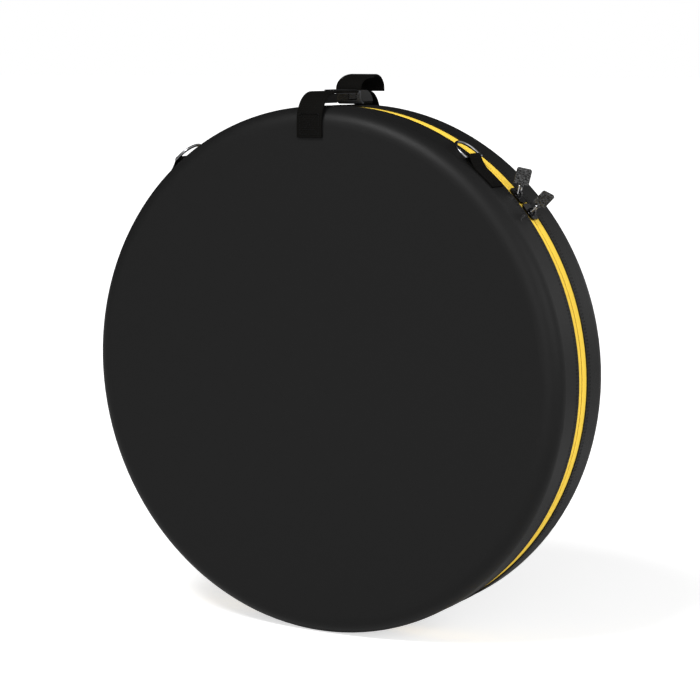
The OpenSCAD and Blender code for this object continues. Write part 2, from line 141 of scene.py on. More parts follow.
def calc(tree, operation, *values):
    """Result of a Math node."""
    return put(tree, "Math", *values, operation=operation).outputs[0]


def new_group(name, ins, outs):
    """Empty node group with its sockets, and its two end nodes."""
    tree = bpy.data.node_groups.new(name, "ShaderNodeTree")
    for label, kind in ins:
        tree.interface.new_socket(name=label, in_out="INPUT", socket_type="NodeSocket" + kind)
    for label, kind in outs:
        tree.interface.new_socket(name=label, in_out="OUTPUT", socket_type="NodeSocket" + kind)
    return tree, tree.nodes.new("NodeGroupInput"), tree.nodes.new("NodeGroupOutput")


print("shader helpers ready")

# %% [markdown]
# ## Studio
# A large pale floor keeps a soft shadow. Only the camera and mirror rays see the world as white;
# what lights the object is a dim sky and soft lamps, so black cloth stays black.

# %% Studio


def mirror_or_camera(tree):
    """1 for rays from the camera, in a mirror or through glass, else 0."""
    path = put(tree, "LightPath").outputs
    seen = calc(tree, "MAXIMUM", path["Is Camera Ray"], path["Is Glossy Ray"])
    return calc(tree, "MAXIMUM", seen, path["Is Transmission Ray"])


WHITE = (1, 1, 1, 1)
SKY_LIGHT = 0.34
world = bpy.data.worlds.new("studio_sky")
bpy.context.scene.world = world
world.use_nodes = True
sky = world.node_tree
sky.nodes.clear()
sky_level = put(sky, "MapRange", mirror_or_camera(sky), 0.0, 1.0, SKY_LIGHT, 1.0)
put(sky, "OutputWorld", put(sky, "Background", WHITE, sky_level.outputs[0]).outputs[0])


def soft_lamp(name, place, aim, size, power):
    """A square soft box at a place, turned to a point."""
    turn = (Vector(aim) - Vector(place)).to_track_quat("-Z", "Y").to_euler()
    bpy.ops.object.light_add(type="AREA", location=place, rotation=turn)
    lamp = bpy.context.object
    lamp.name = name
    lamp.data.size = size
    lamp.data.energy = power
    return lamp


middle = (0, 0, AXIS_Z)
soft_lamp("lamp_top", (-0.29, -1.44, 2.13), middle, 0.7, 46)
soft_lamp("lamp_front", (1.3, -2.4, 0.9), middle, 1.6, 21)
soft_lamp("lamp_right", (2.2, -0.3, 1.1), middle, 1.4, 20)

# Dark cards keep the top and the left of the rim black. Those behind and at the left are seen
# only in reflections, and the one above also takes away the sky's light from there.
card_paint = bpy.data.materials.new("dark_card")
card_paint.use_nodes = True
card_shader = card_paint.node_tree.nodes["Principled BSDF"]
card_shader.inputs["Base Color"].default_value = (0.01, 0.01, 0.01, 1)
card_shader.inputs["Roughness"].default_value = 1


def dark_card(name, place, turn, size, blocks):
    """A black card that the camera doesn't see. With blocks it also shades."""
    bpy.ops.mesh.primitive_plane_add(size=1, location=place, rotation=turn)
    card = bpy.context.object
    card.name = name
    card.scale = (size[0], size[1], 1)
    card.visible_camera = False
    card.visible_transmission = False
    card.visible_diffuse = blocks
    card.visible_shadow = blocks
    card.data.materials.append(card_paint)


dark_card("studio_back_card", (-1.7, 2.0, 2.3), (math.pi / 2, 0, 0), (4.6, 3.6), False)
dark_card("studio_left_card", (-2.4, -0.15, 1.75), (0, math.pi / 2, 0), (2.9, 4.3), False)
dark_card("studio_top_card", (-0.7, 0.9, 2.4), (0, 0, 0), (3.6, 3.2), True)

# A hair below the flat that the case stands on, so the two never share a plane.
bpy.ops.mesh.primitive_plane_add(size=80, location=(0, 0, -0.0002))
floor = bpy.context.object
floor.name = "studio_floor"
floor_paint = bpy.data.materials.new("pale_floor")
floor_paint.use_nodes = True
paint = floor_paint.node_tree
paint.nodes.clear()
# Its glow fades to white away from the object, so no horizon shows.
away = put(paint, "VectorMath", put(paint, "TexCoord").outputs["Object"], operation="LENGTH")
fade = put(paint, "MapRange", away.outputs["Value"], 0.35, 1.6, 0.63, 1.0)
level = calc(paint, "MULTIPLY", put(paint, "LightPath").outputs["Is Camera Ray"], fade.outputs[0])
matt = put(paint, "BsdfDiffuse", (0.8, 0.8, 0.8, 1))
glow = put(paint, "Emission", WHITE, level)
both = put(paint, "AddShader", matt.outputs[0], glow.outputs[0])
put(paint, "OutputMaterial", both.outputs[0])
floor.data.materials.append(floor_paint)
print("studio: sky, three lamps, three dark cards and a floor")

# %% [markdown]
# ## Patterns of cloth
# Woven cloth is small ridges that pass over and under each other. Webbing, zip tape, shell cloth
# and lining differ only in the size of those ridges, so one node group draws them all. On the
# round shells the pattern runs round the rim and turns to a flat grid on the faces. Each effect is
# a group with its sizes as inputs, so a material only states its own numbers.

# %% Node groups
# Cloth ridges: U and V are in metres, the pitches too.
weave, weave_in, weave_out = new_group(
    "woven_ridges", [("Place", "Vector"), ("Pitch U", "Float"), ("Pitch V", "Float")],
    [("Height", "Float"), ("Shade", "Float")])
parts = put(weave, "SeparateXYZ", weave_in.outputs["Place"])
u = calc(weave, "DIVIDE", parts.outputs[0], weave_in.outputs["Pitch U"])
v = calc(weave, "DIVIDE", parts.outputs[1], weave_in.outputs["Pitch V"])
over = calc(weave, "FLOORED_MODULO", calc(weave, "ADD", calc(weave, "FLOOR", u),
                                          calc(weave, "FLOOR", v)), 2.0)
ridge_u = calc(weave, "MULTIPLY", calc(weave, "PINGPONG", u, 0.5), 2.0)
ridge_v = calc(weave, "MULTIPLY", calc(weave, "PINGPONG", v, 0.5), 2.0)
crossing = put(weave, "Mix", over, None, ridge_u, ridge_v)
height = crossing.outputs[0]
grain = put(weave, "TexNoise", weave_in.outputs["Place"], None, 700.0, 2.0)
weave.links.new(height, weave_out.inputs["Height"])
# Shade paints the ridge tops lighter than the grooves, a painted highlight and shade, mixed with
# random grain.
weave.links.new(calc(weave, "ADD", calc(weave, "MULTIPLY", height, 0.6),
                     calc(weave, "MULTIPLY", grain.outputs[0], 0.4)), weave_out.inputs["Shade"])

# Place on the round case: round the rim on the walls, a flat grid on the faces.
wrap, _, wrap_out = new_group("round_place", [], [("Place", "Vector")])
spot = put(wrap, "TexCoord")
place = put(wrap, "SeparateXYZ", spot.outputs["Object"])
above = calc(wrap, "SUBTRACT", place.outputs[2], AXIS_Z)
turned = calc(wrap, "MULTIPLY", calc(wrap, "ARCTAN2", place.outputs[0], above), RIM)
facing = calc(wrap, "GREATER_THAN", calc(wrap, "ABSOLUTE", put(
    wrap, "SeparateXYZ", spot.outputs["Normal"]).outputs[1]), 0.75)
on_wall = put(wrap, "CombineXYZ", turned, place.outputs[1], 0.0)
on_face = put(wrap, "CombineXYZ", place.outputs[0], place.outputs[2], 0.0)
chosen = put(wrap, "Mix", facing, data_type="VECTOR")
wrap.links.new(on_wall.outputs[0], chosen.inputs[4])
wrap.links.new(on_face.outputs[0], chosen.inputs[5])
wrap.links.new(chosen.outputs[1], wrap_out.inputs["Place"])

# Worn metal: fine scratches and cloudy polish.
worn, worn_in, worn_out = new_group("worn_metal", [("Scale", "Float")],
                                    [("Shade", "Float"), ("Height", "Float")])
spot = put(worn, "TexCoord")
cloud = put(worn, "TexNoise", spot.outputs["Object"], None, worn_in.outputs["Scale"], 4.0)
scratch = put(worn, "TexNoise", put(worn, "Mapping", spot.outputs["Object"], None, None,
                                    (2.0, 0.2, 2.0)).outputs[0], None, 3000.0, 2.0)
worn.links.new(cloud.outputs[0], worn_out.inputs["Shade"])
worn.links.new(scratch.outputs[0], worn_out.inputs["Height"])

# Small cells: the pebbles of a rubber grip, or the pile of hook and loop tape.
cells, cells_in, cells_out = new_group("small_cells", [("Scale", "Float")], [("Height", "Float")])
field = put(cells, "TexVoronoi", put(cells, "TexCoord").outputs["Object"], None,
            cells_in.outputs["Scale"])
cells.links.new(field.outputs[0], cells_out.inputs["Height"])
print("node groups:", [g.name for g in bpy.data.node_groups])

# %% [markdown]
# ## Materials
# Each material is one cloth, metal or rubber of the real object. Two grey cloths are lighter
# copies of black ones, painted light for parts in shade. In woven cloth the ridge tops are
# painted lighter than the grooves, a painted highlight and shade, so black cloth is never quite
# black; its colour also shifts between the threads.

# %% Materials
MATERIALS = {}


def blank(name, rough, metallic=0.0, specular=0.5):
    """Material with its Principled shader, its roughness, metallic and specular set."""
    material = bpy.data.materials.new(name)
    material.use_nodes = True
    shader = material.node_tree.nodes["Principled BSDF"]
    shader.inputs["Roughness"].default_value = rough
    shader.inputs["Metallic"].default_value = metallic
    shader.inputs["Specular IOR Level"].default_value = specular
    MATERIALS[name] = material
    return material, material.node_tree, shader


def two_tone(tree, shader, shade, low, high):
    """Colour that runs from low to high with a shade from 0 to 1."""
    ramp = put(tree, "ValToRGB", shade)
    ramp.color_ramp.elements[0].position = 0.2
    ramp.color_ramp.elements[0].color = (*low, 1)
    ramp.color_ramp.elements[1].position = 0.8
    ramp.color_ramp.elements[1].color = (*high, 1)
    tree.links.new(ramp.outputs[0], shader.inputs["Base Color"])


def raise_by(tree, shader, height, depth, strength=1.0):
    """Bump of a real depth in metres."""
    bump = put(tree, "Bump")
    bump.inputs["Strength"].default_value = strength
    bump.inputs["Distance"].default_value = depth
    tree.links.new(height, bump.inputs["Height"])
    tree.links.new(bump.outputs[0], shader.inputs["Normal"])


def cloth(name, low, high, pitch, where="uv", rough=0.85, specular=0.12, depth=0.0002,
          strength=0.6, sheen=0.0):
    """Woven cloth: two colours, the pitch across and along in mm, and where the pattern runs."""
    material, tree, shader = blank(name, rough, 0.0, specular)
    if where == "uv":
        source = put(tree, "UVMap").outputs[0]
    elif where == "round":
        source = put(tree, "Group", node_tree=bpy.data.node_groups["round_place"]).outputs[0]
    else:
        source = put(tree, "TexCoord").outputs["Object"]
    ridges = put(tree, "Group", node_tree=bpy.data.node_groups["woven_ridges"])
    tree.links.new(source, ridges.inputs["Place"])
    ridges.inputs["Pitch U"].default_value = pitch[0] * MM
    ridges.inputs["Pitch V"].default_value = pitch[1] * MM
    # The ridge tops take the high colour and the grooves the low one: a painted highlight and shade.
    two_tone(tree, shader, ridges.outputs["Shade"], low, high)
    raise_by(tree, shader, ridges.outputs["Height"], depth, strength)
    shader.inputs["Sheen Weight"].default_value = sheen
    return material


def metal(name, low, high, rough, scale=60.0):
    """Plated metal with a cloudy polish and fine scratches."""
    material, tree, shader = blank(name, rough, 1.0)
    wear = put(tree, "Group", node_tree=bpy.data.node_groups["worn_metal"])
    wear.inputs["Scale"].default_value = scale
    two_tone(tree, shader, wear.outputs["Shade"], low, high)
    span = put(tree, "MapRange", wear.outputs["Shade"], 0.0, 1.0, rough * 0.8, rough * 1.3)
    tree.links.new(span.outputs[0], shader.inputs["Roughness"])
    raise_by(tree, shader, wear.outputs["Height"], 0.00002, 0.3)
    return material


cloth("shell_cloth", (0.0065,) * 3, (0.0115,) * 3, (0.7, 0.7), "round", 0.42, 0.085, 0.0001, 0.25)
cloth("hinge_cloth", (0.006,) * 3, (0.011,) * 3, (0.7, 0.7), "uv", 0.8, 0.10, 0.00012, 0.45)
cloth("lining_knit", (0.010,) * 3, (0.021,) * 3, (1.3, 0.9), "round", 0.95, 0.06, 0.0003, 0.7, 0.1)
cloth("binding_tape", (0.006,) * 3, (0.012,) * 3, (1.0, 1.4), "uv", 0.85, 0.1, 0.0003)
cloth("zip_tape_yellow", (0.98, 0.67, 0.074), (1.0, 0.80, 0.109), (0.5, 1.1), "uv", 0.8, 0.2,
      0.00025, 0.5)
cloth("webbing_black", (0.0022, 0.0021, 0.0019), (0.0050, 0.0047, 0.0042), (1.5, 1.9), "uv", 0.75,
      0.03, 0.0004, 0.6)
# A lighter grey copy of the black webbing, painted light for the wrap's upright, which is in shade.
cloth("webbing_painted_light", (0.040, 0.042, 0.046), (0.068, 0.071, 0.078), (1.5, 1.9), "uv", 0.85,
      0.12, 0.0005, 0.8)
# A lighter grey copy of the black pad cloth: painted light for the rear pad, in shade.
cloth("pad_cloth_painted_light", (0.026,) * 3, (0.040,) * 3, (0.7, 0.7), "flat", 0.85, 0.12, 0.00015, 0.5)
cloth("pad_cloth_black", (0.005,) * 3, (0.009,) * 3, (0.7, 0.7), "flat", 0.9, 0.08, 0.00015, 0.5)
cloth("elastic_black", (0.006,) * 3, (0.014,) * 3, (1.2, 5.0), "uv", 0.85, 0.12, 0.0005, 0.8)
cloth("casing_tape", (0.007,) * 3, (0.014,) * 3, (0.8, 1.6), "flat", 0.85, 0.1, 0.0002)
cloth("reflector_white", (0.66, 0.66, 0.65), (0.80, 0.80, 0.78), (0.5, 0.5), "flat", 0.5, 0.35,
      0.00008, 0.4)
metal("ring_metal", (0.16, 0.16, 0.165), (0.30, 0.30, 0.31), 0.25)
metal("slider_metal", (0.012, 0.012, 0.013), (0.040, 0.040, 0.042), 0.24, 300.0)
metal("link_metal", (0.45, 0.45, 0.46), (0.65, 0.65, 0.66), 0.22)
metal("stop_metal", (0.4, 0.4, 0.4), (0.6, 0.6, 0.6), 0.35)
metal("spring_steel", (0.28, 0.28, 0.29), (0.42, 0.42, 0.43), 0.3, 20.0)

# Nylon zip teeth, with a soft shine.
material, tree, shader = blank("teeth_yellow", 0.42, 0.0, 0.4)
mottle = put(tree, "TexNoise", put(tree, "TexCoord").outputs["Object"], None, 400.0)
two_tone(tree, shader, mottle.outputs[0], (0.52, 0.27, 0.014), (0.68, 0.37, 0.022))
raise_by(tree, shader, mottle.outputs[0], 0.0001, 0.3)

# Hook tape and loop tape are a dense pile. The moulded pulls have a coarser pebbled grip; the
# raised spots of the pulls are painted much lighter, a painted sparkle of highlights.
for name, rough, specular, scale, low, high, depth, strength in (
        ("grip_hook", 0.95, 0.08, 1300.0, 0.008, 0.022, 0.0006, 0.9),
        ("grip_loop", 0.95, 0.08, 1300.0, 0.006, 0.018, 0.0006, 0.9),
        ("pull_rubber", 0.34, 0.4, 480.0, 0.003, 0.055, 0.0009, 1.0)):
    material, tree, shader = blank(name, rough, 0.0, specular)
    pile = put(tree, "Group", node_tree=bpy.data.node_groups["small_cells"])
    pile.inputs["Scale"].default_value = scale
    two_tone(tree, shader, pile.outputs[0], (low,) * 3, (high,) * 3)
    raise_by(tree, shader, pile.outputs[0], depth, strength)

# Sewing thread: two twisted plies.
material, tree, shader = blank("thread_black", 0.7, 0.0, 0.06)
ply = put(tree, "TexWave", put(tree, "TexCoord").outputs["Object"], 500.0)
two_tone(tree, shader, ply.outputs[1], (0.002,) * 3, (0.006,) * 3)
raise_by(tree, shader, ply.outputs[1], 0.0001, 0.5)

# Pocket mesh: round holes in rows, cut by alpha.
material, tree, shader = blank("pocket_mesh", 0.8, 0.0, 0.15)
place = put(tree, "SeparateXYZ", put(tree, "TexCoord").outputs["Object"])
across = calc(tree, "PINGPONG", place.outputs[0], 0.0015)
upward = calc(tree, "PINGPONG", place.outputs[2], 0.0015)
apart = calc(tree, "SQRT", calc(tree, "ADD", calc(tree, "MULTIPLY", across, across),
                                calc(tree, "MULTIPLY", upward, upward)))
tree.links.new(calc(tree, "GREATER_THAN", apart, 0.0010), shader.inputs["Alpha"])
two_tone(tree, shader, put(tree, "TexNoise", put(tree, "TexCoord").outputs["Object"], None,
                           300.0).outputs[0], (0.008,) * 3, (0.02,) * 3)
print("materials:", len(MATERIALS))

# %% [markdown]
# ## Ways of working
# The soft pieces start as one flat face, ring or outline and are worked up in edit mode. These
# helpers hold the few steps that come back for many pieces: pick parts, apply modifiers, copy.

# %% Helpers


def deselect():
    """Nothing selected."""
    bpy.ops.object.select_all(action="DESELECT")


def only(piece):
    """Make a piece the single selected one."""
    deselect()
    piece.select_set(True)
    bpy.context.view_layer.objects.active = piece
    return piece


def added(name):
    """The object that was just added, under its name."""
    piece = bpy.context.object
    piece.name = name
    return piece


def edit(piece, test=None, mode="VERT"):
    """Go to edit mode with the vertices, edges or faces selected for which test is true."""
    only(piece)
    bpy.ops.object.mode_set(mode="EDIT")
    bpy.ops.mesh.select_mode(type=mode)
    bpy.ops.mesh.select_all(action="SELECT" if test is None else "DESELECT")
    if test is not None:
        work = bmesh.from_edit_mesh(piece.data)
        parts = {"VERT": work.verts, "EDGE": work.edges, "FACE": work.faces}[mode]
        for part in parts:
            if test(part):
                part.select_set(True)
        work.select_flush_mode()
        bmesh.update_edit_mesh(piece.data)


def leave():
    """Back to object mode."""
    bpy.ops.object.mode_set(mode="OBJECT")


def push(step):
    """Extrude what is selected by a step."""
    bpy.ops.mesh.extrude_region_move(TRANSFORM_OT_translate={"value": step})


def outward(piece):
    """Normals recalculated to point out."""
    edit(piece)
    bpy.ops.mesh.normals_make_consistent(inside=False)
    leave()


def modify(piece, kind, **settings):
    """Add a modifier with its settings and apply it."""
    only(piece)
    made = piece.modifiers.new(kind.lower(), kind)
    for key, value in settings.items():
        setattr(made, key, value)
    bpy.ops.object.modifier_apply(modifier=made.name)


def round_edges(piece, width, segments, angle=50):
    """Bevel of the edges sharper than an angle in degrees."""
    modify(piece, "BEVEL", width=width, segments=segments, limit_method="ANGLE",
           angle_limit=math.radians(angle))


def smooth(piece, angle):
    """Smooth shading, with edges sharper than an angle in degrees kept."""
    only(piece)
    bpy.ops.object.shade_smooth_by_angle(angle=math.radians(angle))


def cover(piece, material):
    """The piece's one material."""
    piece.data.materials.clear()
    piece.data.materials.append(MATERIALS[material])


def dress(piece, material, body, replaced=()):
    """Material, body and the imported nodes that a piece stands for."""
    cover(piece, material)
    if body:
        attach(piece, body)
    if replaced:
        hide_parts(*replaced)
    return piece


def strap(name, path, across, thickness, soft=0.0004):
    """A strap whose middle follows a path. Its UV map is in metres: x across, y along it."""
    deselect()
    bpy.ops.mesh.primitive_plane_add(size=1)
    piece = added(name)
    half = across / 2
    for vertex, place in zip(piece.data.vertices, (path[0] - half, path[0] + half,
                                                   path[1] - half, path[1] + half)):
        vertex.co = place
    edit(piece, lambda vertex: vertex.index in (2, 3))
    for here, there in zip(path[1:], path[2:]):
        push(there - here)
    leave()
    run = [0.0]
    for here, there in zip(path, path[1:]):
        run.append(run[-1] + (there - here).length)
    side = across.normalized()
    uv = piece.data.uv_layers.active.data
    for loop in piece.data.loops:
        place = piece.data.vertices[loop.vertex_index].co
        flat = place - side * (place - path[0]).dot(side)
        near = min(range(len(path)), key=lambda k: (path[k] - flat).length)
        uv[loop.index].uv = ((place - path[0]).dot(side), run[near])
    modify(piece, "SOLIDIFY", thickness=thickness, offset=0, use_even_offset=True)
    outward(piece)
    round_edges(piece, soft, 2)
    smooth(piece, 50)
    return piece


def block(name, outline, along, soft):
    """A padded block: an outline drawn in edit mode, pushed along a line, its edges rounded."""
    deselect()
    bpy.ops.mesh.primitive_circle_add(vertices=len(outline), fill_type="NGON")
    piece = added(name)
    for vertex, place in zip(piece.data.vertices, outline):
        vertex.co = place
    edit(piece)
    push(along)
    leave()
    outward(piece)
    round_edges(piece, soft, 3)
    smooth(piece, 60)
    return piece


BAND_SIDES = 288


def band(name, radius, depth_from, depth_to, thickness, soft=0.0002, gap=0.0):
    """A band round the rim, inside a radius, left open by a gap of degrees each side of the hinge.
    Its UV map is in metres: x across the band, y along it."""
    deselect()
    bpy.ops.mesh.primitive_circle_add(vertices=BAND_SIDES, radius=radius,
                                      location=(0, depth_from, AXIS_Z),
                                      rotation=(math.pi / 2, 0, 0))
    piece = added(name)
    bpy.ops.object.transform_apply(location=True, rotation=True, scale=True)
    edit(piece)
    push((0, depth_to - depth_from, 0))
    leave()
    if gap:
        edit(piece, lambda face: face.calc_center_median().x < 0
             and abs(rim_angle(face.calc_center_median()) + 90) < gap, "FACE")
        bpy.ops.mesh.delete(type="FACE")
        leave()
    outward(piece)
    first = piece.data.polygons[0]
    if first.normal.dot(first.center - Vector((0, first.center.y, AXIS_Z))) < 0:
        edit(piece)
        bpy.ops.mesh.flip_normals()
        leave()
    layer = piece.data.uv_layers.new(name="UVMap").data
    for face in piece.data.polygons:
        mid = rim_angle(face.center)
        for index in face.loop_indices:
            place = piece.data.vertices[piece.data.loops[index].vertex_index].co
            turn = rim_angle(place)
            turn += 360 * round((mid - turn) / 360)
            layer[index].uv = (place.y, math.radians(turn) * radius)
    modify(piece, "SOLIDIFY", thickness=thickness, offset=-1)
    round_edges(piece, soft, 1)
    smooth(piece, 40)
    return piece


def repeat_round(piece, count, step):
    """Copies of a piece round the rim, one step in degrees apart, made with an array."""
    deselect()
    bpy.ops.object.empty_add(location=(0, 0, 0))
    hub = bpy.context.object
    turn = (Matrix.Translation((0, 0, AXIS_Z)) @ Matrix.Rotation(math.radians(step), 4, "Y")
            @ Matrix.Translation((0, 0, -AXIS_Z)))
    hub.matrix_world = turn
    bpy.context.view_layer.update()
    modify(piece, "ARRAY", count=count, use_relative_offset=False, use_object_offset=True,
           offset_object=hub)
    bpy.data.objects.remove(hub)
    return piece


def thread(name, length, radius):
    """One stitch along X: a short twist of thread that dips into the cloth at both ends."""
    deselect()
    bpy.ops.mesh.primitive_cylinder_add(vertices=6, radius=radius, depth=length * 0.5,
                                        rotation=(0, math.pi / 2, 0))
    piece = added(name)
    bpy.ops.object.transform_apply(location=False, rotation=True, scale=False)
    for side in (-1, 1):
        edit(piece, lambda face: face.normal.x * side > 0.9, "FACE")
        push((side * length * 0.22, 0, -radius * 1.2))
        bpy.ops.transform.resize(value=(0.6, 0.6, 0.6))
        leave()
    smooth(piece, 60)
    return piece


def stitch_lines(name, lines, pitch, radius):
    """Rows of stitches. Each line is its start, its end and the cloth's outward direction."""
    first = thread(name, pitch, radius)
    copies = []
    for start, end, up in lines:
        run = end - start
        count = max(2, round(run.length / pitch))
        along = run.normalized()
        level = up.normalized()
        turn = Matrix((along, level.cross(along), level)).transposed().to_4x4()
        for k in range(count):
            copy = first.copy()
            copy.data = first.data.copy()
            bpy.context.collection.objects.link(copy)
            copy.matrix_world = Matrix.Translation(start + run * ((k + 0.5) / count)) @ turn
            copies.append(copy)
    bpy.data.objects.remove(first)
    deselect()
    for copy in copies:
        copy.select_set(True)
    bpy.context.view_layer.objects.active = copies[0]
    bpy.ops.object.join()
    piece = added(name)
    bpy.ops.object.transform_apply(location=True, rotation=True, scale=True)
    return piece


print("helpers ready")

# %% [markdown]
# ## Shells
# Each half of the real case is a sheet of foam between two cloths, pressed hot in a round mould
# with rounded edges and a flat at the bottom to stand on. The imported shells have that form, so
# they only take their cloth. The metal parts, the pulls and the grip tape also stay as packed.

# %% Shells and hard parts
KEPT = {
    "front_shell": "shell_cloth", "rear_shell": "shell_cloth",
    "d_ring_left": "ring_metal", "d_ring_right": "ring_metal",
    "slider_a": "slider_metal", "slider_b": "slider_metal",
    "pull_a_link": "link_metal", "pull_b_link": "link_metal",
    "pull_a_tab": "pull_rubber", "pull_b_tab": "pull_rubber",
    "zip_end_stops": "stop_metal",
    "handle_loop_patch": "grip_loop", "flap_hook_patch": "grip_hook",
}
for name, material in KEPT.items():
    cover(nodes[name], material)
print("kept as packed:", len(KEPT))

# %% [markdown]
# ## Zip
# A coil zip is two woven tapes, each with a row of nylon teeth sewn along its edge. Each tape is
# a band laid round the rim and sewn to its shell. One tooth is modelled and arrayed round the
# rim; the two rows are half a pitch apart, so that their heads mesh on the centre line.

# %% Zip tapes
hinge_low, hinge_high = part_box("hinge_strip")
HINGE_GAP = math.degrees(math.asin((hinge_high.z - hinge_low.z) / 2 / RIM))
for side, body in (("front", "lid"), ("rear", "rear_case")):
    low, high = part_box(side + "_zip_tape")
    tape = band(side + "_tape", high.x, low.y, high.y, 0.7 * MM, gap=HINGE_GAP)
    dress(tape, "zip_tape_yellow", body, [side + "_zip_tape"])
    print(tape.name, "faces", len(tape.data.polygons))

# %% Zip teeth
TEETH_STEP = math.degrees(1.25 * MM / RIM)
STOP_ROOM = 1.5
for side, body in (("front", "lid"), ("rear", "rear_case")):
    low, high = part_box(side + "_zip_coil")
    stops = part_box("zip_end_stops")
    first_angle = rim_angle(Vector((stops[0].x, 0, stops[1].z))) + STOP_ROOM
    last_angle = rim_angle(Vector((stops[0].x, 0, stops[0].z))) + 360 - STOP_ROOM
    count = int((last_angle - first_angle) / TEETH_STEP)
    sign = -1 if side == "front" else 1
    deselect()
    bpy.ops.mesh.primitive_cube_add(size=1)
    tooth = added(side + "_teeth")
    for vertex in tooth.data.vertices:
        vertex.co.x *= 0.72 * MM
        vertex.co.y = sign * (3.2 * MM if vertex.co.y * sign > 0 else -0.35 * MM)
        vertex.co.z *= 1.7 * MM
    # The head, on the centre line, is wider than the neck behind it.
    edit(tooth, lambda face: face.normal.y * sign < -0.9, "FACE")
    push((0, -sign * 0.7 * MM, 0))
    bpy.ops.transform.resize(value=(1.35, 1, 0.9))
    leave()
    outward(tooth)
    round_edges(tooth, 0.16 * MM, 1, 40)
    shift = 0.5 if side == "front" else 0.0
    start = first_angle + shift * TEETH_STEP
    tooth.data.transform(Matrix.Translation((0, 0, high.x - 1.0 * MM)))
    tooth.data.transform(Matrix.Translation((0, 0, AXIS_Z))
                         @ Matrix.Rotation(math.radians(start), 4, "Y"))
    repeat_round(tooth, count, TEETH_STEP)
    smooth(tooth, 30)
    dress(tooth, "teeth_yellow", body, [side + "_zip_coil"])
    print(tooth.name, "teeth", count, "faces", len(tooth.data.polygons))

# %% Stitches round the rim
RIM_STITCHES = 460
for side, body, depths in (("front", "lid", (-11.6, -14.4)), ("rear", "rear_case", (11.6, 14.4))):
    for number, depth in enumerate(depths):
        stitch = thread(f"{side}_rim_stitches_{number}", 2.4 * MM, 0.18 * MM)
        stitch.data.transform(Matrix.Translation((0, depth * MM, AXIS_Z + RIM + 0.02 * MM)))
        repeat_round(stitch, RIM_STITCHES, 360 / RIM_STITCHES)
        # None are sewn across the flat that the case stands on.
        edit(stitch, lambda vertex: vertex.co.z < 0.4 * MM)
        bpy.ops.mesh.select_linked()
        bpy.ops.mesh.delete(type="VERT")
        leave()
        dress(stitch, "thread_black", body)
print("rim stitches done")

# %% [markdown]
# ## Handle straps
# Two pieces of nylon webbing are sewn flat on the front and rear faces. They bend over the rim,
# and the front one carries loop tape on its free end. Foam pads under the bends keep them off
# the zip. Webbing keeps its width and only bends along its length, so each strap is a line of the
# handle's side view extruded step by step across 25 mm; a box bent to shape would stretch.

# %% Handle straps
low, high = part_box("handle_front_strap")
STRAP_X = (low.x + high.x) / 2
STRAP_W = high.x - low.x
STRAP_T = 1.8 * MM
HALF_T = STRAP_T / 2 / MM
ACROSS = Vector((STRAP_W, 0, 0))


def on_side(depth, radius):
    """Point of the handle's side view, in mm from the case's line."""
    return Vector((STRAP_X, depth * MM, AXIS_Z + radius * MM))


def arc(depth, radius, size, turns, tall=None):
    """Points of an arc in that side view, in mm. Turns in degrees start at its top."""
    tall = size if tall is None else tall
    return [(depth + size * math.sin(math.radians(a)), radius + tall * math.cos(math.radians(a)))
            for a in turns]


front_out = low.y / MM
top = (high.z - AXIS_Z) / MM
foot = (low.z - AXIS_Z) / MM
bend = 24.6
flat_run = high.y / MM - front_out - bend
front_path = [(front_out + HALF_T, foot + k * (top - bend - foot) / 8) for k in range(8)]
front_path += arc(front_out + bend, top - bend, bend - HALF_T, [7.5 * k - 90 for k in range(13)])
front_path += [(front_out + bend + k * flat_run / 6, top - HALF_T) for k in range(1, 7)]
front_strap = strap("webbing_front", [on_side(*p) for p in front_path], ACROSS, STRAP_T)
dress(front_strap, "webbing_black", "lid", ["handle_front_strap"])

low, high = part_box("handle_rear_strap")
rear_out = high.y / MM
# The rear strap follows two circles, over the pad and round the shell's edge. Each is its
# centre's depth and radius, and its own size. Only what lies outside the other one is kept.
over_pad = (30.2, top - 21.5, 20.6)
over_edge = (34.5, 214.0, rear_out - 34.5 - HALF_T)


def outside(point, circle):
    return math.hypot(point[0] - circle[0], point[1] - circle[1]) > circle[2]


rear_path = [p for p in arc(*over_pad, [5 + 1.6 * k for k in range(61)]) if outside(p, over_edge)]
for point in arc(*over_edge, [1.5 * k for k in range(61)]):
    if outside(point, over_pad) and point[1] < rear_path[-1][1] - 0.8:
        rear_path.append(point)
rear_path += [(rear_out - HALF_T, radius) for radius in (212.5, 211, foot)]
rear_strap = strap("webbing_rear", [on_side(*p) for p in rear_path], ACROSS, STRAP_T)
dress(rear_strap, "webbing_black", "rear_case", ["handle_rear_strap"])
print("straps:", len(front_path), "and", len(rear_path), "steps")

# %% [markdown]
# ## The handle's pads
# The pads are small blocks of firm foam in cloth. They are too firm to sag, so an outline drawn in
# the side view, extruded across the strap and rounded by a bevel, gives them their form.

# %% Handle pads
left = Vector((-STRAP_W / 2 + 0.3 * MM, 0, 0))
width = Vector((STRAP_W - 0.6 * MM, 0, 0))
pad_low = (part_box("handle_front_pad")[0].z - AXIS_Z) / MM
pad_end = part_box("handle_front_pad")[1].y / MM
inner = bend - 2.0
rise = pad_low - (top - bend)
first = math.degrees(math.acos(rise / inner))
outline = [(pad_end, pad_low)]
outline += arc(front_out + bend, top - bend, inner, [first * (k / 14 - 1) for k in range(15)])
outline += [(pad_end, top - 2.0)]
front_pad = block("foam_front", [on_side(*p) + left for p in outline], width, 0.9 * MM)
dress(front_pad, "pad_cloth_black", "lid", ["handle_front_pad"])

